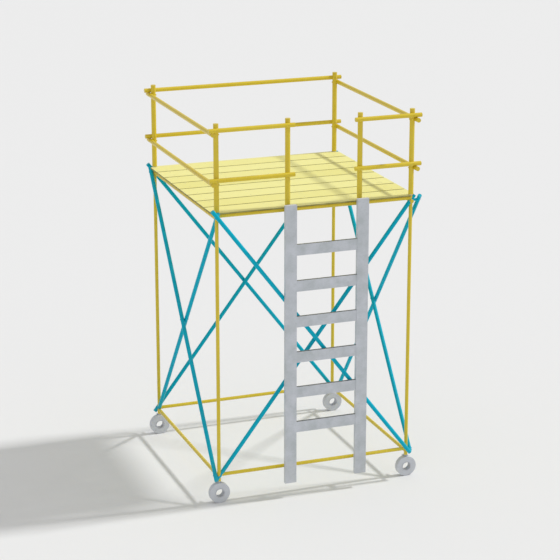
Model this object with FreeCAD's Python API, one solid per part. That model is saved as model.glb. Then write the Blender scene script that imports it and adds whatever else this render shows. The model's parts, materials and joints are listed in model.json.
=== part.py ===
import FreeCAD, Part
import math
import os

# Mobile access tower: one scaffold lift on four castors, with a boarded deck,
# guardrails round the deck, crossed braces on each face and a ladder at the entry gap.
# Millimetres, +Z up, +X to the right along the entry side, +Y from the entry side to the back.
# Drawn round the middle of the four legs; every piece is saved moved back by footShift,
# which puts the origin on the ground under the middle of the whole outline.

os.makedirs("parts", exist_ok=True)
V = FreeCAD.Vector

# ---- driving dimensions ----
half = 1200.0            # leg axes sit at +/- half in X and in Y
legR, legWall = 21.2, 2.6
postR, postWall = 30.15, 3.2
railR, railWall = 26.0, 2.6
braceR, braceWall = 24.15, 2.6
beamR, beamWall = 21.2, 3.2

legFoot = 268.0          # underside of the leg tube, on the castor collar
legHead = 3533.3         # top of the leg tube, under the spigot flange
flangeThick = 6.0
postTop = 4560.0
capThick = 4.0

baseFrontZ = 349.0       # base tubes at the front and back
baseSideZ = 317.0        # base tubes at the sides
deckTop = 3533.0
plankThick = 18.0
plankPitch = 305.0
plankGap = 24.0
plankCount = 8
plankEdge = 2.5
deckLeft, deckRight = -1258.0, 1252.0
beamZ = deckTop - plankThick - beamR - 0.3
sideBeamZ = beamZ - 32.0
stubReach = 45.0         # the right side beam shows this far in front of its leg
joistX = (-1110.0, -555.0, 0.0, 500.0, 1110.0)
joistWide, joistHigh, joistWall = 30.0, 38.0, 2.5

entryX = (-342.0, 548.0)  # entry posts, either side of the ladder
railOffset = 40.0        # rail axis outside the post axis
railPast = 100.0         # rail end past the corner post axis
frontRailZ = (4488.0, 3913.0)
sideRailZ = (4435.0, 3860.0)
leftRailFront = -1226.0  # the left rails stop level with the corner post
gapLeftEnd, gapRightEnd = -270.0, 472.0

braceLowZ, braceHighZ = 346.0, 3470.0   # heights at the leg axes
braceStep = 2 * braceR + 0.2
planeBrace = -1.0        # offset of the braces that the legs pass through
innerBrace = planeBrace + braceStep
outerBrace = innerBrace + braceStep
plumb = None             # stands for a reach: an end cut upright level with the leg
plumbReach = 20.0
screwR, screwHeadR, screwHeadHigh = 5.0, 9.0, 4.0

wheelR, wheelWide, wheelBoreR = 125.0, 66.0, 56.05
sleeveR, sleeveBoreR = 56.0, 50.0
sideGap = 0.4            # wheel face to yoke plate
topPlateZ = 254.0        # underside of the yoke's top plate
topPlate = 8.0

ladderY = -1343.0
stileX = (-358.5, 531.5)
stileWide, stileDeep, stileWall = 141.0, 43.0, 3.0
ladderLow, ladderHigh = 184.0, 3582.0
rungHigh, rungDeep, rungWall = 131.0, 34.0, 2.5
rungTopZ, rungPitch, rungCount = 3045.0, 433.0, 6
hookThick, hookR = 12.0, 36.0

corners = [(sx * half, sy * half) for sy in (-1, 1) for sx in (-1, 1)]
castorNames = ("front_left", "front_right", "back_left", "back_right")
outlineFront = ladderY - stileDeep / 2
outlineBack = half + outerBrace + braceR - 1.0 + screwHeadHigh
footShift = -(outlineFront + outlineBack) / 2


# ---- building blocks ----
def rod(start, direction, radius, length):
    return Part.makeCylinder(radius, length, start, direction)


def bar(start, end, radius):
    run = end - start
    return Part.makeCylinder(radius, run.Length, start, run)


def tube(start, end, radius, wall):
    run = end - start
    step = V(run).normalize()
    return bar(start, end, radius).cut(bar(start - step, end + step, radius - wall))


def block(x0, x1, y0, y1, z0, z1):
    return Part.makeBox(x1 - x0, y1 - y0, z1 - z0, V(x0, y0, z0))


def save(name, shapes):
    whole = shapes[0].copy() if len(shapes) == 1 else Part.makeCompound(shapes)
    whole.translate(V(0, footShift, 0))
    whole.exportStep("parts/" + name + ".step")


# ---- faces of the tower: a point on a face is (along, outward offset, height) ----
class Face:
    def __init__(self, name, along, out):
        self.name = name
        self.along = V(*along)
        self.out = V(*out)

    def at(self, run, offset, z):
        return self.along * run + self.out * (half + offset) + V(0, 0, z)


front = Face("front", (1, 0, 0), (0, -1, 0))
back = Face("back", (1, 0, 0), (0, 1, 0))
left = Face("left", (0, 1, 0), (-1, 0, 0))
right = Face("right", (0, 1, 0), (1, 0, 0))

# ---- rails: (face, from, to, posts they cross), two heights each ----
corner = half + railPast
railRuns = {
    "front_left_rails": (front, -corner, gapLeftEnd, (-half, entryX[0])),
    "front_right_rails": (front, gapRightEnd, corner, (entryX[1], half)),
    "back_rails": (back, -corner, corner, (-half, half)),
    "left_rails": (left, leftRailFront, corner, (-half, half)),
    "right_rails": (right, -corner, corner, (-half, half)),
}
railBolts = []
railHoles = []
railNuts = []
railSeats = []
railSolid = []
boltOut = railOffset + railR - 1.0
boltIn = -postR + 1.0
for face, start, end, posts in railRuns.values():
    heights = frontRailZ if face.out.y else sideRailZ
    for z in heights:
        railSolid.append(bar(face.at(start, railOffset, z), face.at(end, railOffset, z), railR + 0.1))
        for run in posts:
            inward = face.out * -1
            head = rod(face.at(run, boltOut, z), face.out, screwHeadR, screwHeadHigh)
            shank = rod(face.at(run, boltOut, z), inward, screwR, boltOut - boltIn + 9.0)
            railBolts.append(head.fuse(shank))
            nut = rod(face.at(run, boltIn, z), inward, screwHeadR, 8.0)
            railNuts.append(nut.cut(rod(face.at(run, boltIn + 1, z), inward, screwR, 20.0)))
            railHoles.append(rod(face.at(run, boltOut + 1, z), inward, screwR + 0.2, 120.0))
            railSeats.append(rod(face.at(run, boltOut, z), face.out, screwHeadR + 0.5, 20.0))
            railSeats.append(rod(face.at(run, boltIn, z), inward, screwHeadR + 0.5, 20.0))

railPlugs = []
for name, (face, start, end, posts) in railRuns.items():
    pieces = []
    for z in (frontRailZ if face.out.y else sideRailZ):
        piece = tube(face.at(start + 3, railOffset, z), face.at(end - 3, railOffset, z), railR, railWall)
        pieces.append(piece.cut(railHoles + railSeats))
        for run, turn in ((start, 1), (end, -1)):
            disc = rod(face.at(run, railOffset, z), face.along * turn, railR, 3.0)
            stopper = rod(face.at(run + 3 * turn, railOffset, z), face.along * turn, railR - railWall - 0.1, 9.0)
            railPlugs.append(disc.fuse(stopper))
    save(name, pieces)
save("rail_bolts", railBolts)
save("rail_nuts", railNuts)
save("rail_end_plugs", railPlugs)

# ---- rods in the plane of the legs, used to shape what meets them ----
legRods = [rod(V(x, y, 0), V(0, 0, 1), legR, 5000) for x, y in corners]
baseRods = [
    bar(front.at(-half, 0, baseFrontZ), front.at(half, 0, baseFrontZ), beamR),
    bar(back.at(-half, 0, baseFrontZ), back.at(half, 0, baseFrontZ), beamR),
    bar(left.at(-half, 0, baseSideZ), left.at(half, 0, baseSideZ), beamR),
    bar(right.at(-half, 0, baseSideZ), right.at(half, 0, baseSideZ), beamR),
]
beamRods = [
    bar(front.at(-half, 0, beamZ), front.at(half, 0, beamZ), beamR),
    bar(back.at(-half, 0, beamZ), back.at(half, 0, beamZ), beamR),
]
sideRods = [
    bar(left.at(-half, 0, sideBeamZ), left.at(half, 0, sideBeamZ), beamR),
    bar(right.at(-half - stubReach, 0, sideBeamZ), right.at(half, 0, sideBeamZ), beamR),
]
castorRods = [rod(V(x, y, 0), V(0, 0, 1), 100.0, topPlateZ + topPlate + 0.6) for x, y in corners]
postRods = [rod(V(x, y, legHead - 0.3), V(0, 0, 1), postR + 0.3, 200) for x, y in corners]

# ---- braces ----
# (face, side of its top end, offset, height of its foot, reach past the leg at the top, at the foot)
braceRuns = {
    "brace_front_outer": (front, -1, outerBrace, braceLowZ, 84.0, 12.0),
    "brace_front_inner": (front, 1, planeBrace, braceLowZ - 22.0, 46.0, plumb),
    "brace_back_outer": (back, -1, outerBrace, braceLowZ, 61.0, 46.0),
    "brace_back_inner": (back, 1, innerBrace, braceLowZ, 42.0, 46.0),
    "brace_left_outer": (left, 1, innerBrace, braceLowZ, 46.0, 46.0),
    "brace_left_inner": (left, -1, planeBrace, braceLowZ, 46.0, plumb),
    "brace_right_outer": (right, -1, outerBrace, braceLowZ, 44.0, 46.0),
    "brace_right_inner": (right, 1, innerBrace, braceLowZ, plumb, 22.0),
}
braceScrewsShort = []
braceScrewsLong = []
braceHoles = []
bracePlugs = []
braceShapes = {}
spacerSpots = []
braceRods = []
braceEnds = []
for name, (face, topSide, offset, footZ, topReach, lowReach) in braceRuns.items():
    slope = (braceHighZ - footZ) / (2 * half)
    ends = []
    trims = []
    for side, z, lean, reach in ((topSide, braceHighZ, 1, topReach), (-topSide, footZ, -1, lowReach)):
        past = 60.0 if reach is plumb else reach
        ends.append(face.at(side * (half + past), offset, z + lean * slope * past))
        if reach is plumb:
            low = face.at(side * (half + plumbReach), offset - 60, z - 200)
            high = face.at(side * (half + 300), offset + 60, z + 200)
            trims.append((side, block(*sorted((low.x, high.x)), *sorted((low.y, high.y)), z - 200, z + 200)))
    step = V(ends[1] - ends[0]).normalize()
    solid = bar(ends[0], ends[1], braceR)
    hollow = bar(ends[0] - step, ends[1] + step, braceR - braceWall)
    braceRods.append(solid)
    if offset != planeBrace:
        braceEnds.append(ends)
    beyond = []
    for side, box in trims:
        lid = box.copy()
        lid.translate(face.along * (-3.0 * side))
        beyond.append(box)
        if offset != planeBrace:
            bracePlugs.append(solid.cut(box).common(lid))
            beyond.append(bracePlugs[-1])
    for end, turn, reach in ((ends[0], -1, topReach), (ends[1], 1, lowReach)):
        if reach is not plumb:
            disc = rod(end - step * (3.0 * turn), step * turn, braceR, 3.0)
            stopper = rod(end - step * (3.0 * turn), step * -turn, braceR - braceWall - 0.1, 10.0)
            plug = disc.fuse(stopper)
            bracePlugs.append(plug.cut(postRods) if offset == planeBrace else plug)
            beyond.append(disc)
    braceShapes[name] = solid.cut([hollow] + beyond)
    if offset == planeBrace:
        continue
    for side, z in ((topSide, braceHighZ), (-topSide, footZ)):
        run = side * half
        seat = offset + braceR - 1.0
        head = rod(face.at(run, seat, z), face.out, screwHeadR, screwHeadHigh)
        shank = rod(face.at(run, seat, z), face.out * -1, screwR, seat - legR + 12.0)
        screws = braceScrewsShort if offset == innerBrace else braceScrewsLong
        screws.append(head.fuse(shank))
        braceHoles.append(rod(face.at(run, seat, z), face.out * -1, screwR + 0.2, seat - legR + 12.5))
        braceHoles.append(rod(face.at(run, seat, z), face.out, screwHeadR + 0.5, 20.0))
        if offset == outerBrace:
            spacerSpots.append((face, run, z))

braceSpacers = []
for face, run, z in spacerSpots:
    sleeve = rod(face.at(run, legR - 8, z), face.out, 16.0, outerBrace - legR)
    bore = rod(face.at(run, 0, z), face.out, screwR + 0.2, 150.0)
    braceSpacers.append(sleeve.cut(legRods + baseRods + beamRods + sideRods + braceRods + [bore]))

midZ = (braceHighZ + braceLowZ) / 2
braceRivets = []
for face, inner in ((back, innerBrace), (right, innerBrace), (left, planeBrace)):
    start = inner - braceR + 1.0
    length = braceStep + 2 * braceR - 2.0
    shank = rod(face.at(0, start, midZ), face.out, screwR, length)
    tail = rod(face.at(0, start, midZ), face.out * -1, screwHeadR, screwHeadHigh)
    head = rod(face.at(0, start + length, midZ), face.out, screwHeadR, screwHeadHigh)
    braceRivets.append(shank.fuse([tail, head]))
    braceHoles.append(rod(face.at(0, start, midZ), face.out, screwR + 0.2, length))
    braceHoles.append(rod(face.at(0, start, midZ), face.out * -1, screwHeadR + 0.5, 20.0))
    braceHoles.append(rod(face.at(0, start + length, midZ), face.out, screwHeadR + 0.5, 20.0))

planeTools = legRods + baseRods + beamRods + sideRods + castorRods + postRods
for name, piece in braceShapes.items():
    tools = planeTools if braceRuns[name][2] == planeBrace else []
    cut = piece.cut(braceHoles + tools)
    save(name, [max(cut.Solids, key=lambda part: part.Volume)])
save("brace_screws_short", braceScrewsShort)
save("brace_screws_long", braceScrewsLong)
save("brace_spacers", braceSpacers)
save("brace_crossing_rivets", braceRivets)
save("brace_end_plugs", bracePlugs)

# ---- legs and base tubes ----
legs = {}
for x, y in corners:
    leg = tube(V(x, y, legFoot), V(x, y, legHead), legR, legWall)
    legs[(x, y)] = leg.cut(braceHoles)
save("front_legs", [legs[spot] for spot in corners[:2]])
save("back_legs", [legs[spot] for spot in corners[2:]])


def crossTube(face, z, wall, tools):
    return tube(face.at(-half, 0, z), face.at(half, 0, z), beamR, wall).cut(legRods + tools)


save("base_tube_front", [crossTube(front, baseFrontZ, legWall, [])])
save("base_tube_back", [crossTube(back, baseFrontZ, legWall, [])])
save("base_tubes_side", [crossTube(side, baseSideZ, legWall, baseRods[:2]) for side in (left, right)])

# ---- corner posts stand on spigots in the leg tops ----
postFoot = legHead + flangeThick
postBore = postR - postWall
railCuts = railSolid + railHoles + railSeats


def post(x, y, foot):
    return tube(V(x, y, foot), V(x, y, postTop - capThick), postR, postWall).cut(railCuts)


def postPlug(x, y, foot, lowerR, lowerLong):
    flange = rod(V(x, y, foot - flangeThick), V(0, 0, 1), postR, flangeThick)
    upper = rod(V(x, y, foot), V(0, 0, 1), postBore - 0.05, 90.0)
    lower = rod(V(x, y, foot - flangeThick), V(0, 0, -1), lowerR, lowerLong)
    bore = rod(V(x, y, foot - 300), V(0, 0, 1), lowerR - 6.0, 600.0)
    return flange.fuse([upper, lower]).cut(bore)


save("front_corner_posts", [post(x, y, postFoot) for x, y in corners[:2]])
save("back_corner_posts", [post(x, y, postFoot) for x, y in corners[2:]])
wideBraces = [bar(ends[0], ends[1], braceR + 0.3) for ends in braceEnds]
spigots = []
for x, y in corners:
    spigot = postPlug(x, y, postFoot, legR - legWall - 0.05, 110.0)
    spigots.append(spigot.cut(braceHoles + wideBraces))
save("post_spigots", spigots)

# ---- entry posts stand on saddles on the front deck beam ----
entryFoot = beamZ + beamR + flangeThick + 1.5
entryFeet = [postPlug(x, -half, entryFoot, 20.0, 12.0).cut(beamRods) for x in entryX]
save("entry_posts", [post(x, -half, entryFoot) for x in entryX])
save("entry_post_saddles", entryFeet)

postSpots = corners + [(x, -half) for x in entryX]
caps = []
for x, y in postSpots:
    disc = rod(V(x, y, postTop - capThick), V(0, 0, 1), postR, capThick)
    caps.append(disc.fuse(rod(V(x, y, postTop - capThick), V(0, 0, -1), postBore - 0.1, 20.0)))
save("post_caps", caps)

# ---- deck: beams front and back, joists between them, eight planks on top ----
save("deck_beam_front", [crossTube(front, beamZ, beamWall, [])])
save("deck_beam_back", [crossTube(back, beamZ, beamWall, [])])
sideBeams = [crossTube(side, sideBeamZ, beamWall, beamRods) for side in (left, right)]
stub = rod(right.at(-half, 0, sideBeamZ), V(0, -1, 0), beamR, stubReach).cut(legRods)
save("deck_side_beams", sideBeams + [stub])
deckBase = deckTop - plankThick
joists = []
screwSpots = []
for x in joistX:
    w = joistWide / 2
    top = deckBase - 0.3
    outer = block(x - w, x + w, -half, half, top - joistHigh, top)
    t = joistWall
    inner = block(x - w + t, x + w - t, -half - 1, half + 1, top - joistHigh + t, top - t)
    joists.append(outer.cut([inner] + beamRods))
    for k in range(plankCount):
        y0 = -plankPitch * plankCount / 2 + k * plankPitch
        for share in (0.22, 0.78):
            screwSpots.append((x, y0 + share * plankPitch))

plankScrews = []
screwTools = []
for x, y in screwSpots:
    if min(math.hypot(x - px, y - py) for px, py in postSpots) < 60:
        continue
    head = rod(V(x, y, deckTop - 2.5), V(0, 0, 1), 5.5, 2.3)
    plankScrews.append(head.fuse(rod(V(x, y, deckTop - 2.5), V(0, 0, -1), 2.5, 24.0)))
    screwTools.append(rod(V(x, y, deckTop - 2.5), V(0, 0, 1), 5.5, 10.0))
    screwTools.append(rod(V(x, y, deckTop - 2.5), V(0, 0, -1), 2.5, 24.0))
joists = [joist.cut(screwTools) for joist in joists]
save("deck_joists", joists)
save("plank_screws", plankScrews)

hookX = [stileX[0] + stileWide / 2 - hookThick / 2, stileX[1] + stileWide / 2 - hookThick / 2]
plankTools = [rod(V(x, y, deckBase - 20), V(0, 0, 1), legR + 1.0, 60.0) for x, y in corners]
plankTools += [rod(V(x, -half, deckBase - 20), V(0, 0, 1), postR + 1.0, 60.0) for x in entryX]
plankTools.append(block(-half - 27, -half + 25, -1400, -half, deckBase - 5, deckTop + 5))
for x in hookX:
    plankTools.append(block(x - hookThick / 2 - 2, x + hookThick / 2 + 2, -1300, -1144, deckBase - 5, deckTop + 5))
plankTools.append(block(-1400, -half - legR + 1.5, half - 25, 1400, deckBase - 5, deckTop + 5))
plankTools.append(block(half + legR - 1.5, 1400, half - 25, 1400, deckBase - 5, deckTop + 5))
plankTools.append(block(half, 1400, -1400, -half + 30, deckBase - 5, deckTop + 5))
planks = []
for k in range(plankCount):
    y0 = -plankPitch * plankCount / 2 + k * plankPitch + (plankGap / 2 if k else 0)
    y1 = -plankPitch * plankCount / 2 + (k + 1) * plankPitch - (plankGap / 2 if k < plankCount - 1 else 0)
    e = plankEdge
    outline = [(y0, deckBase), (y1, deckBase), (y1, deckTop - e), (y1 - e, deckTop), (y0 + e, deckTop), (y0, deckTop - e)]
    points = [V(deckLeft, y, z) for y, z in outline]
    board = Part.Face(Part.makePolygon(points + points[:1])).extrude(V(deckRight - deckLeft, 0, 0))
    near = [tool for tool in plankTools + screwTools if tool.BoundBox.intersect(board.BoundBox)]
    planks.append(board.cut(near))
save("plank_front", planks[:1])
save("planks_middle", planks[1:-1])
save("plank_back", planks[-1:])

# ---- castors ----
yokePlate = 8.0
plateBack = wheelWide / 2 + sideGap
pinR, pinHeadR = 10.0, 14.0
armHalf = 21.0
leverZ, leverOut, leverPinR = 235.0, 52.0, 4.0


def ring(hub, y0, y1, rOut, rIn):
    hole = rod(hub + V(0, y0 - 1, 0), V(0, 1, 0), rIn, y1 - y0 + 2)
    return rod(hub + V(0, y0, 0), V(0, 1, 0), rOut, y1 - y0).cut(hole)


stems = []
for name, (x, y) in zip(castorNames, corners):
    hub = V(x, y, wheelR)
    tyre = ring(hub, -wheelWide / 2, wheelWide / 2, wheelR, wheelBoreR)
    rims = [edge for edge in tyre.Edges if abs(edge.Length - 2 * math.pi * wheelR) < 1]
    save("wheel_" + name, [tyre.makeChamfer(3.0, rims)])

    plate = ring(hub, plateBack, plateBack + yokePlate, 75.0, sleeveBoreR)
    sleeve = ring(hub, -plateBack - 2.2, plateBack + yokePlate, sleeveR, sleeveBoreR)
    lip = ring(hub, -plateBack - 2.2, -plateBack, 60.0, sleeveBoreR)
    arm = block(x - armHalf, x + armHalf, y + plateBack, y + plateBack + yokePlate, wheelR + 60, topPlateZ + topPlate)
    crown = block(x - armHalf, x + armHalf, y - 21, y + plateBack + yokePlate, topPlateZ, topPlateZ + topPlate)
    pieces = [sleeve, lip, arm, crown]
    for side in (-1, 1):
        earX = x + side * 17
        earBack = y + plateBack + yokePlate - 1
        pieces.append(block(earX - 3, earX + 3, earBack, y + leverOut + 8, leverZ - 9, leverZ + 9))
    window = block(x - 11, x + 11, y + plateBack - 1, y + plateBack + yokePlate + 1, leverZ - 13, leverZ + 13)
    pinHole = rod(V(x, y, topPlateZ - 1), V(0, 0, 1), pinR + 0.05, 20.0)
    headHole = rod(V(x, y, topPlateZ - 1), V(0, 0, 1), pinHeadR + 0.3, 4.2)
    leverHole = rod(V(x - 30, y + leverOut, leverZ), V(1, 0, 0), leverPinR + 0.05, 60.0)
    save("castor_yoke_" + name, [plate.fuse(pieces).cut([window, pinHole, headHole, leverHole])])

    barrel = rod(V(x - 13.5, y + leverOut, leverZ), V(1, 0, 0), 8.0, 27.0)
    pivot = rod(V(x - 22, y + leverOut, leverZ), V(1, 0, 0), leverPinR, 44.0)
    nose = block(x - 8, x + 8, y + plateBack + 1.2, y + leverOut, leverZ - 4, leverZ + 4)
    pedal = block(x - 13, x + 13, y + leverOut, y + leverOut + 42, leverZ - 5, leverZ)
    save("brake_lever_" + name, [barrel.fuse([pivot, nose, pedal])])

    stem = rod(V(x, y, topPlateZ + 0.2), V(0, 0, 1), pinHeadR, 2.7)
    shaft = rod(V(x, y, topPlateZ + 0.2), V(0, 0, 1), pinR, 20.0)
    collar = rod(V(x, y, topPlateZ + topPlate + 0.4), V(0, 0, 1), legR, legFoot - topPlateZ - topPlate - 0.4)
    plug = rod(V(x, y, legFoot), V(0, 0, 1), legR - legWall - 0.05, 55.0)
    stems.append(stem.fuse([shaft, collar, plug]))
save("castor_stems", stems)

# ---- ladder: two box stiles, board rungs, hooks over the front deck beam ----
sw, sd = stileWide / 2, stileDeep / 2
y0, y1 = ladderY - sd, ladderY + sd
stiles = []
stileCaps = []
t = stileWall
for x in stileX:
    outer = block(x - sw, x + sw, y0, y1, ladderLow + t, ladderHigh - t)
    inner = block(x - sw + t, x + sw - t, y0 + t, y1 - t, ladderLow - 1, ladderHigh + 1)
    stiles.append(outer.cut(inner))
    for z, turn in ((ladderLow, 1), (ladderHigh - t, -1)):
        lid = block(x - sw, x + sw, y0, y1, z, z + t)
        low = z + t if turn == 1 else z - 12
        stopper = block(x - sw + t + 0.2, x + sw - t - 0.2, y0 + t + 0.2, y1 - t - 0.2, low, low + 12)
        stileCaps.append(lid.fuse(stopper))
save("ladder_stile_left", stiles[:1])
save("ladder_stile_right", stiles[1:])
save("ladder_stile_caps", stileCaps)

rungs = []
r0, r1 = stileX[0] + sw, stileX[1] - sw
for k in range(rungCount):
    z = rungTopZ - k * rungPitch
    t = rungWall
    outer = block(r0, r1, ladderY - rungDeep / 2, ladderY + rungDeep / 2, z - rungHigh / 2, z + rungHigh / 2)
    inner = block(r0 - 1, r1 + 1, ladderY - rungDeep / 2 + t, ladderY + rungDeep / 2 - t,
                  z - rungHigh / 2 + t, z + rungHigh / 2 - t)
    rungs.append(outer.cut(inner))
save("ladder_rungs", rungs)

hooks = []
for x in hookX:
    a, b = x - hookThick / 2, x + hookThick / 2
    disc = rod(V(a, -half, beamZ), V(1, 0, 0), hookR, hookThick)
    arm = block(a, b, y1, -half - beamR + 1, beamZ - 70, beamZ + hookR)
    bridge = block(a, b, -half - beamR, -half, beamZ, beamZ + hookR)
    mouth = block(a - 1, b + 1, -half - beamR - 0.05, -half + beamR + 0.05, beamZ - 100, beamZ)
    hole = rod(V(a - 1, -half, beamZ), V(1, 0, 0), beamR + 0.05, hookThick + 2)
    hooks.append(disc.fuse([arm, bridge]).cut([mouth, hole]))
save("ladder_hooks", hooks)

standoffs = []
bumpers = []
for x in stileX:
    standoffs.append(block(x - 20, x + 20, y1, -1236, baseFrontZ - 20, baseFrontZ + 20))
    bumpers.append(block(x - 20, x + 20, -1236, -half - beamR - 0.6, baseFrontZ - 20, baseFrontZ + 20))
save("ladder_standoffs", standoffs)
save("ladder_bumpers", bumpers)
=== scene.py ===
import json
import math

import bpy
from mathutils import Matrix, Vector


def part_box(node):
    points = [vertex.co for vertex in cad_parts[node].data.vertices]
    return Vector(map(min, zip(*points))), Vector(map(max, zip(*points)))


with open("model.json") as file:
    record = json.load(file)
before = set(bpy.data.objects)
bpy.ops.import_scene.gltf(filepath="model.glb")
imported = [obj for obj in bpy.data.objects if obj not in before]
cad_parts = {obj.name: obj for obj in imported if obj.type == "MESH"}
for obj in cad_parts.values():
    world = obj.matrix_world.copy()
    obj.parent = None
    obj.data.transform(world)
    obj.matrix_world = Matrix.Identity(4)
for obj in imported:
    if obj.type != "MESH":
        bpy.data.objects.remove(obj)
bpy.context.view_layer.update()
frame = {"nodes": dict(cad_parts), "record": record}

scene = bpy.context.scene
nodes = frame["nodes"]


def addNode(tree, kind, settings=None, values=None):
    node = tree.nodes.new(kind)
    for key, value in (settings or {}).items():
        setattr(node, key, value)
    for key, value in (values or {}).items():
        node.inputs[key].default_value = value
    return node


def maths(tree, operation, a, b, clamp=False):
    # a and b are numbers or sockets
    node = addNode(tree, "ShaderNodeMath", {"operation": operation, "use_clamp": clamp})
    for socket, value in zip(node.inputs, (a, b)):
        if isinstance(value, (int, float)):
            socket.default_value = value
        else:
            tree.links.new(value, socket)
    return node.outputs[0]


def scaled(tree, value, factor):
    return maths(tree, "MULTIPLY", value, factor)


def noise(tree, vector, scale, detail=3.0, rough=0.55):
    values = {"Scale": scale, "Detail": detail, "Roughness": rough}
    node = addNode(tree, "ShaderNodeTexNoise", None, values)
    tree.links.new(vector, node.inputs["Vector"])
    return node.outputs["Fac"]


def mixColor(tree, factor, a, b):
    # factor is a socket, a and b are colours or sockets
    node = addNode(tree, "ShaderNodeMix", {"data_type": "RGBA", "blend_type": "MIX"})
    tree.links.new(factor, node.inputs[0])
    for socket, value in ((node.inputs[6], a), (node.inputs[7], b)):
        if isinstance(value, tuple):
            socket.default_value = (*value, 1)
        else:
            tree.links.new(value, socket)
    return node.outputs[2]


def stretch(tree, vector, scale):
    node = addNode(tree, "ShaderNodeMapping", None, {"Scale": scale})
    tree.links.new(vector, node.inputs["Vector"])
    return node.outputs["Vector"]


def ramp(tree, value, low, high):
    node = addNode(tree, "ShaderNodeMapRange", None, {"From Min": low, "From Max": high})
    tree.links.new(value, node.inputs["Value"])
    return node.outputs["Result"]


def facingUp(tree):
    # 1 on a face that looks up, 0 on an upright one, -1 underneath
    split = addNode(tree, "ShaderNodeSeparateXYZ")
    geometry = addNode(tree, "ShaderNodeNewGeometry")
    tree.links.new(geometry.outputs["Normal"], split.inputs[0])
    return split.outputs["Z"]


def tint(color, factor):
    return tuple(min(1, c * factor) for c in color)


# Shared effects. Each is one node group with named inputs and outputs.

def newGroup(name, inputs, outputs):
    group = bpy.data.node_groups.new(name, "ShaderNodeTree")
    for label, kind, value in inputs:
        socket = group.interface.new_socket(name=label, in_out="INPUT", socket_type=kind)
        if value is not None:
            socket.default_value = value
    for label, kind in outputs:
        group.interface.new_socket(name=label, in_out="OUTPUT", socket_type=kind)
    return group, group.nodes.new("NodeGroupInput"), group.nodes.new("NodeGroupOutput")


# Worn outside edges, from the angle between the bevelled and the true normal.
def makeEdgeWear():
    group, start, end = newGroup(
        "edgeWear",
        [("Position", "NodeSocketVector", None),
         ("Width", "NodeSocketFloat", 0.002),
         ("Patch", "NodeSocketFloat", 30.0),
         ("Amount", "NodeSocketFloat", 0.5)],
        [("Mask", "NodeSocketFloat")])
    bevel = addNode(group, "ShaderNodeBevel", {"samples": 4})
    geometry = addNode(group, "ShaderNodeNewGeometry")
    dot = addNode(group, "ShaderNodeVectorMath", {"operation": "DOT_PRODUCT"})
    group.links.new(start.outputs["Width"], bevel.inputs["Radius"])
    group.links.new(bevel.outputs["Normal"], dot.inputs[0])
    group.links.new(geometry.outputs["Normal"], dot.inputs[1])
    edge = ramp(group, maths(group, "SUBTRACT", 1.0, dot.outputs["Value"]), 0.01, 0.09)
    patchNoise = addNode(group, "ShaderNodeTexNoise", None, {"Detail": 4.0})
    group.links.new(start.outputs["Position"], patchNoise.inputs["Vector"])
    group.links.new(start.outputs["Patch"], patchNoise.inputs["Scale"])
    patch = ramp(group, patchNoise.outputs["Fac"], 0.44, 0.62)
    worn = maths(group, "MULTIPLY", edge, patch)
    mask = maths(group, "MULTIPLY", worn, start.outputs["Amount"], True)
    group.links.new(mask, end.inputs["Mask"])
    return group


# Sprayed enamel: sun-faded patches, uneven gloss drawn out downwards, orange peel.
def makeEnamel():
    group, start, end = newGroup(
        "enamelCoat",
        [("Position", "NodeSocketVector", None),
         ("Color", "NodeSocketColor", None),
         ("Faded", "NodeSocketColor", None),
         ("Gloss", "NodeSocketFloat", 0.3)],
        [("Color", "NodeSocketColor"),
         ("Roughness", "NodeSocketFloat"),
         ("Height", "NodeSocketFloat")])
    point = start.outputs["Position"]
    broad = ramp(group, noise(group, point, 1.7, 3), 0.35, 0.7)
    cloud = ramp(group, noise(group, point, 9.0, 4), 0.35, 0.75)
    fade = maths(group, "ADD", scaled(group, broad, 0.35), scaled(group, cloud, 0.25))
    color = mixColor(group, fade, start.outputs["Color"], start.outputs["Faded"])
    group.links.new(color, end.inputs["Color"])
    smear = noise(group, stretch(group, point, (1, 1, 0.2)), 26.0, 4)
    uneven = scaled(group, maths(group, "SUBTRACT", smear, 0.5), 0.22)
    rough = maths(group, "ADD", start.outputs["Gloss"], uneven)
    group.links.new(maths(group, "MAXIMUM", rough, 0.08), end.inputs["Roughness"])
    ripple = scaled(group, noise(group, point, 46.0, 2), 1.6)
    peel = maths(group, "ADD", noise(group, point, 260.0, 2), ripple)
    group.links.new(peel, end.inputs["Height"])
    return group


# Site dust: settles on faces that look up and in the lowest part of the tower.
def makeDust():
    group, start, end = newGroup(
        "siteDust",
        [("Position", "NodeSocketVector", None),
         ("Amount", "NodeSocketFloat", 0.4),
         ("Floor Band", "NodeSocketFloat", 0.5)],
        [("Mask", "NodeSocketFloat")])
    upward = ramp(group, facingUp(group), 0.3, 1.0)
    height = addNode(group, "ShaderNodeSeparateXYZ")
    group.links.new(start.outputs["Position"], height.inputs[0])
    rise = maths(group, "DIVIDE", height.outputs["Z"], start.outputs["Floor Band"])
    low = maths(group, "SUBTRACT", 1.0, rise, True)
    spread = maths(group, "ADD", scaled(group, upward, 0.45), scaled(group, low, 0.6))
    gritAndDarkTop = ramp(group, noise(group, start.outputs["Position"], 34.0, 5, 0.65), 0.38, 0.7)
    settled = maths(group, "MULTIPLY", spread, gritAndDarkTop)
    mask = maths(group, "MULTIPLY", settled, start.outputs["Amount"], True)
    group.links.new(mask, end.inputs["Mask"])
    return group


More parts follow.
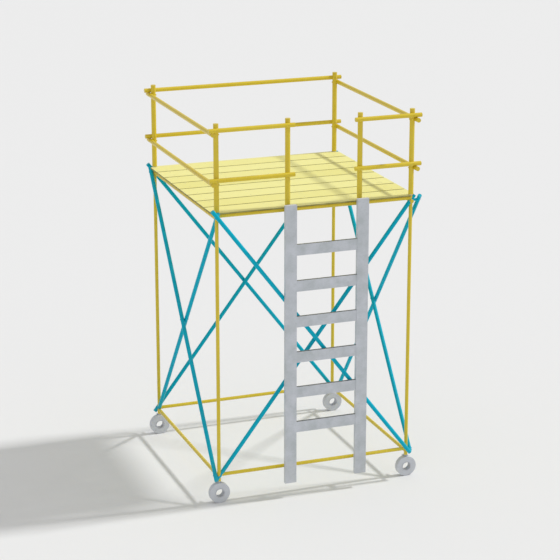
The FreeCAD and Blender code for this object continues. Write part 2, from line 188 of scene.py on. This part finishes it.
# Softwood under paint: long grain, rings and a few knots, running along X.
def makeGrain():
    group, start, end = newGroup(
        "boardGrain",
        [("Position", "NodeSocketVector", None),
         ("Board Pitch", "NodeSocketFloat", 0.305),
         ("First Edge", "NodeSocketFloat", 0.0)],
        [("Grain", "NodeSocketFloat"),
         ("Board Tone", "NodeSocketFloat"),
         ("Knots", "NodeSocketFloat")])
    point = start.outputs["Position"]
    split = addNode(group, "ShaderNodeSeparateXYZ")
    group.links.new(point, split.inputs[0])
    fromEdge = maths(group, "SUBTRACT", split.outputs["Y"], start.outputs["First Edge"])
    count = maths(group, "DIVIDE", fromEdge, start.outputs["Board Pitch"])
    board = maths(group, "FLOOR", count, 0.0)
    tone = addNode(group, "ShaderNodeTexWhiteNoise", {"noise_dimensions": "1D"})
    group.links.new(board, tone.inputs["W"])
    # each board shows another stretch of the grain
    shift = addNode(group, "ShaderNodeCombineXYZ")
    group.links.new(scaled(group, tone.outputs["Value"], 7.0), shift.inputs["X"])
    moved = addNode(group, "ShaderNodeVectorMath", {"operation": "ADD"})
    group.links.new(point, moved.inputs[0])
    group.links.new(shift.outputs[0], moved.inputs[1])
    along = moved.outputs["Vector"]
    fine = noise(group, stretch(group, along, (1.2, 46.0, 46.0)), 3.0, 4, 0.6)
    rings = addNode(group, "ShaderNodeTexWave", {"wave_type": "BANDS", "bands_direction": "Y"},
                    {"Scale": 9.0, "Distortion": 5.0, "Detail": 3.0, "Detail Scale": 0.8})
    group.links.new(stretch(group, along, (0.22, 1.0, 1.0)), rings.inputs["Vector"])
    banded = scaled(group, rings.outputs["Fac"], 0.35)
    grain = maths(group, "ADD", scaled(group, fine, 0.65), banded)
    cells = addNode(group, "ShaderNodeTexVoronoi", None, {"Scale": 1.0})
    group.links.new(stretch(group, along, (1.5, 3.4, 0.01)), cells.inputs["Vector"])
    group.links.new(grain, end.inputs["Grain"])
    group.links.new(tone.outputs["Value"], end.inputs["Board Tone"])
    group.links.new(ramp(group, cells.outputs["Distance"], 0.075, 0.02), end.inputs["Knots"])
    return group


edgeWear = makeEdgeWear()
enamelCoat = makeEnamel()
siteDust = makeDust()
boardGrain = makeGrain()
print("shared effects ready")


def place(tree, group, position, values):
    node = addNode(tree, "ShaderNodeGroup", {"node_tree": group})
    for key, value in values.items():
        node.inputs[key].default_value = value
    tree.links.new(position, node.inputs["Position"])
    return node


def wornMask(tree, position, width, patch, amount):
    values = {"Width": width, "Patch": patch, "Amount": amount}
    return place(tree, edgeWear, position, values).outputs["Mask"]


def dustMask(tree, position, amount, floorBand):
    values = {"Amount": amount, "Floor Band": floorBand}
    return place(tree, siteDust, position, values).outputs["Mask"]


def newMaterial(name):
    material = bpy.data.materials.new(name)
    material.use_nodes = True
    tree = material.node_tree
    shader = tree.nodes["Principled BSDF"]
    position = addNode(tree, "ShaderNodeTexCoord").outputs["Object"]
    return material, tree, shader, position


def setRough(tree, shader, low, mask, spread):
    # roughness runs from low up to low + spread where the mask is 1
    rough = maths(tree, "ADD", low, scaled(tree, mask, spread))
    tree.links.new(rough, shader.inputs["Roughness"])


def addBump(tree, shader, height, strength, distance):
    bump = addNode(tree, "ShaderNodeBump", None, {"Strength": strength, "Distance": distance})
    tree.links.new(height, bump.inputs["Height"])
    tree.links.new(bump.outputs["Normal"], shader.inputs["Normal"])


dustColor = (0.60, 0.56, 0.48)
paints = {
    "yellowPaint": {
        "color": (0.70, 0.525, 0.022), "faded": (0.80, 0.64, 0.06), "bare": (0.30, 0.27, 0.22),
        "gloss": 0.26, "shine": 0.45, "dust": 0.1, "wear": 0.55},
    "cyanPaint": {
        "color": (0.0, 0.41, 0.56), "faded": (0.0, 0.50, 0.68), "bare": (0.12, 0.28, 0.32),
        "gloss": 0.30, "shine": 0.1, "dust": 0.25, "wear": 0.55},
    "greyPaint": {
        "color": (0.50, 0.53, 0.58), "faded": (0.57, 0.59, 0.64), "bare": (0.28, 0.28, 0.29),
        "gloss": 0.42, "shine": 0.4, "dust": 0.45, "wear": 0.55},
}


def paintMaterial(name, look):
    material, tree, shader, position = newMaterial(name)
    coat = place(tree, enamelCoat, position, {
        "Color": (*look["color"], 1), "Faded": (*look["faded"], 1), "Gloss": look["gloss"]})
    worn = wornMask(tree, position, 0.003, 38.0, look["wear"])
    dusty = dustMask(tree, position, look["dust"], 0.55)
    color = mixColor(tree, worn, coat.outputs["Color"], look["bare"])
    color = mixColor(tree, dusty, color, dustColor)
    tree.links.new(color, shader.inputs["Base Color"])
    dulled = scaled(tree, maths(tree, "ADD", worn, dusty), 0.35)
    rough = maths(tree, "ADD", coat.outputs["Roughness"], dulled, True)
    tree.links.new(rough, shader.inputs["Roughness"])
    tree.links.new(scaled(tree, worn, 0.8), shader.inputs["Metallic"])
    shader.inputs["Specular IOR Level"].default_value = look["shine"]
    addBump(tree, shader, coat.outputs["Height"], 0.12, 0.0004)
    return material


# the dark side colour is painted shade laid on the upright faces of the boards
boards = {
    "paint": (0.86, 0.81, 0.275), "pale": (0.91, 0.87, 0.345), "dark": (0.58, 0.48, 0.13),
    "knot": (0.50, 0.36, 0.12), "sideShade": (0.20, 0.17, 0.035), "rough": 0.5,
}


def boardMaterial(name, look):
    material, tree, shader, position = newMaterial(name)
    wood = place(tree, boardGrain, position, {"First Edge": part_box("plank_front")[0].y})
    dusty = dustMask(tree, position, 0.16, 0.1)
    worn = wornMask(tree, position, 0.004, 16.0, 0.7)
    color = mixColor(tree, wood.outputs["Board Tone"], look["paint"], look["pale"])
    streak = ramp(tree, wood.outputs["Grain"], 0.42, 0.78)
    color = mixColor(tree, scaled(tree, streak, 0.16), color, look["dark"])
    color = mixColor(tree, scaled(tree, wood.outputs["Knots"], 0.35), color, look["knot"])
    color = mixColor(tree, worn, color, look["dark"])
    color = mixColor(tree, dusty, color, dustColor)
    # painted shade on the upright board faces, mottled by noise, darkens the gaps between
    # planks
    side = ramp(tree, maths(tree, "ABSOLUTE", facingUp(tree), 0.0), 0.75, 0.4)
    blotch = ramp(tree, noise(tree, position, 6.0, 4), 0.2, 0.6)
    shadeDepth = maths(tree, "ADD", 0.55, scaled(tree, blotch, 0.35))
    sideShadeMask = maths(tree, "MULTIPLY", side, shadeDepth)
    tree.links.new(mixColor(tree, sideShadeMask, color, look["sideShade"]), shader.inputs["Base Color"])
    streaky = stretch(tree, position, (1, 3, 1))
    scuff = ramp(tree, noise(tree, streaky, 7.0, 5, 0.6), 0.3, 0.75)
    setRough(tree, shader, look["rough"], scuff, 0.25)
    sunken = scaled(tree, wood.outputs["Knots"], 0.5)
    relief = maths(tree, "SUBTRACT", wood.outputs["Grain"], sunken)
    addBump(tree, shader, relief, 0.35, 0.0012)
    return material


ladderMetal = {
    "color": (0.55, 0.573, 0.62), "worn": (0.70, 0.71, 0.73), "gritAndDarkTop": (0.05, 0.05, 0.052),
    "metallic": 0.25, "rough": 0.38,
    "stileLines": (60.0, 60.0, 0.6), "rungLines": (0.6, 60.0, 60.0), "rungTopDark": 0.85,
}


# Grey anodised extrusion: fine die lines along the length, scuffs, and faces that look up
# darkened to near black by the given amount.
def extrusionMaterial(name, look, lineScale, topDarkening=0.0):
    material, tree, shader, position = newMaterial(name)
    lines = noise(tree, stretch(tree, position, lineScale), 4.0, 4, 0.6)
    cloud = ramp(tree, noise(tree, position, 8.0, 5, 0.62), 0.32, 0.68)
    squat = stretch(tree, position, (1, 1, 5))
    scuff = ramp(tree, noise(tree, squat, 21.0, 5, 0.65), 0.56, 0.72)
    worn = wornMask(tree, position, 0.003, 30.0, 0.6)
    dusty = dustMask(tree, position, 0.35, 0.6)
    red, green, blue = look["color"]
    dull = (red * 0.90, green * 0.93, blue * 0.90)
    color = mixColor(tree, cloud, dull, tint(look["color"], 1.14))
    color = mixColor(tree, scaled(tree, scuff, 0.35), color, tint(look["color"], 0.66))
    color = mixColor(tree, worn, color, look["worn"])
    # faces that look up are darkened towards near black
    gritAndDarkTop = scaled(tree, ramp(tree, facingUp(tree), 0.6, 0.9), topDarkening)
    color = mixColor(tree, gritAndDarkTop, color, look["gritAndDarkTop"])
    tree.links.new(mixColor(tree, dusty, color, dustColor), shader.inputs["Base Color"])
    shader.inputs["Metallic"].default_value = look["metallic"]
    setRough(tree, shader, look["rough"], maths(tree, "ADD", lines, scuff), 0.16)
    addBump(tree, shader, lines, 0.2, 0.0003)
    return material


nylon = {
    "wheel": (0.58, 0.605, 0.65), "cap": (0.54, 0.56, 0.61), "scuffed": (0.36, 0.36, 0.37),
    "rough": 0.45,
}


# Moulded nylon: cloudy and specked, scuffed at the edges and dusty where it rolls.
def nylonMaterial(name, look, color):
    material, tree, shader, position = newMaterial(name)
    cloud = ramp(tree, noise(tree, position, 12.0, 4), 0.3, 0.75)
    speck = ramp(tree, noise(tree, position, 95.0, 4, 0.7), 0.6, 0.75)
    dusty = dustMask(tree, position, 0.3, 0.3)
    worn = wornMask(tree, position, 0.003, 44.0, 0.5)
    mottled = mixColor(tree, cloud, color, tint(color, 1.12))
    mottled = mixColor(tree, scaled(tree, speck, 0.35), mottled, tint(color, 0.6))
    mottled = mixColor(tree, worn, mottled, look["scuffed"])
    tree.links.new(mixColor(tree, dusty, mottled, dustColor), shader.inputs["Base Color"])
    setRough(tree, shader, look["rough"], cloud, 0.2)
    addBump(tree, shader, maths(tree, "ADD", cloud, speck), 0.25, 0.0006)
    return material


zinc = {
    "dark": (0.50, 0.51, 0.53), "light": (0.60, 0.61, 0.62), "blotch": (0.36, 0.35, 0.33),
    "metallic": 0.85, "rough": 0.34,
}


# Zinc plate with its faint crystal bloom.
def zincMaterial(name, look):
    material, tree, shader, position = newMaterial(name)
    cells = addNode(tree, "ShaderNodeTexVoronoi", None, {"Scale": 70.0})
    tree.links.new(position, cells.inputs["Vector"])
    bloom = ramp(tree, cells.outputs["Distance"], 0.1, 0.7)
    blotch = ramp(tree, noise(tree, position, 11.0, 5), 0.45, 0.72)
    color = mixColor(tree, bloom, look["dark"], look["light"])
    color = mixColor(tree, scaled(tree, blotch, 0.5), color, look["blotch"])
    tree.links.new(color, shader.inputs["Base Color"])
    shader.inputs["Metallic"].default_value = look["metallic"]
    setRough(tree, shader, look["rough"], blotch, 0.28)
    addBump(tree, shader, bloom, 0.15, 0.0003)
    return material


rubber = {"dark": (0.025, 0.025, 0.026), "light": (0.07, 0.068, 0.065), "rough": 0.6}


def rubberMaterial(name, look):
    material, tree, shader, position = newMaterial(name)
    cloud = ramp(tree, noise(tree, position, 40.0, 5), 0.3, 0.7)
    color = mixColor(tree, cloud, look["dark"], look["light"])
    tree.links.new(color, shader.inputs["Base Color"])
    setRough(tree, shader, look["rough"], cloud, 0.25)
    addBump(tree, shader, cloud, 0.3, 0.0008)
    return material


yellow = paintMaterial("yellowEnamel", paints["yellowPaint"])
cyan = paintMaterial("cyanEnamel", paints["cyanPaint"])
finishes = {
    "yellow_paint": yellow,
    "yellow_plastic": yellow,
    "cyan_paint": cyan,
    "cyan_plastic": cyan,
    "grey_paint": paintMaterial("greyEnamel", paints["greyPaint"]),
    "painted_board": boardMaterial("paintedBoard", boards),
    "ladder_aluminium": extrusionMaterial(
        "ladderExtrusion", ladderMetal, ladderMetal["stileLines"]),
    "ladder_plastic": nylonMaterial("ladderCap", nylon, nylon["cap"]),
    "wheel_nylon": nylonMaterial("castNylon", nylon, nylon["wheel"]),
    "zinc_steel": zincMaterial("zincPlate", zinc),
    "bumper_rubber": rubberMaterial("bumperRubber", rubber),
}
rungFinish = extrusionMaterial(
    "rungExtrusion", ladderMetal, ladderMetal["rungLines"], ladderMetal["rungTopDark"])
slots = {part["node"]: part["material_slot"] for part in frame["record"]["subparts"]}
for name, piece in nodes.items():
    finish = rungFinish if name == "ladder_rungs" else finishes[slots[name]]
    piece.data.materials.clear()
    piece.data.materials.append(finish)
print("finishes placed on", len(nodes), "nodes")

floorLook = {"size": 260.0, "color": (0.80, 0.80, 0.80), "rough": 0.95}


def makeFloor(look):
    half = look["size"] / 2
    corners = [(-half, -half, 0), (half, -half, 0), (half, half, 0), (-half, half, 0)]
    mesh = bpy.data.meshes.new("studioFloor")
    mesh.from_pydata(corners, [], [(0, 1, 2, 3)])
    floor = bpy.data.objects.new("studioFloor", mesh)
    scene.collection.objects.link(floor)
    material, _, shader, _ = newMaterial("studioFloor")
    shader.inputs["Base Color"].default_value = (*look["color"], 1)
    shader.inputs["Roughness"].default_value = look["rough"]
    mesh.materials.append(material)


lights = {
    "sky": 0.6, "skyColor": (1, 1, 1), "sun": 1.9, "sunWidth": 0.09,
    "sunTravel": (-0.88, 0.043, -1.0),
}


def makeLights(look):
    world = bpy.data.worlds.new("studio")
    scene.world = world
    world.use_nodes = True
    background = world.node_tree.nodes["Background"]
    background.inputs["Color"].default_value = (*look["skyColor"], 1)
    background.inputs["Strength"].default_value = look["sky"]
    sun = bpy.data.lights.new("key", "SUN")
    sun.energy = look["sun"]
    sun.angle = look["sunWidth"]
    lamp = bpy.data.objects.new("key", sun)
    lamp.rotation_mode = "QUATERNION"
    lamp.rotation_quaternion = Vector(look["sunTravel"]).to_track_quat("-Z", "Y")
    scene.collection.objects.link(lamp)


camera = {
    "place": (-7.933, -21.3013, 9.134), "yaw": 0.3567, "pitch": 0.2928,
    "lens": 124.71, "sensor": 36.0, "farthest": 200,
}


def makeCamera(look):
    data = bpy.data.cameras.new("view")
    data.sensor_width = look["sensor"]
    data.lens = look["lens"]
    data.clip_end = look["farthest"]
    eye = bpy.data.objects.new("view", data)
    yaw, pitch = look["yaw"], look["pitch"]
    level = math.cos(pitch)
    gaze = Vector((math.sin(yaw) * level, math.cos(yaw) * level, -math.sin(pitch)))
    eye.location = look["place"]
    eye.rotation_mode = "QUATERNION"
    eye.rotation_quaternion = gaze.to_track_quat("-Z", "Y")
    scene.collection.objects.link(eye)
    scene.camera = eye
    scene.view_settings.view_transform = "Standard"


makeFloor(floorLook)
makeLights(lights)
makeCamera(camera)
print("floor, lights and camera ready")
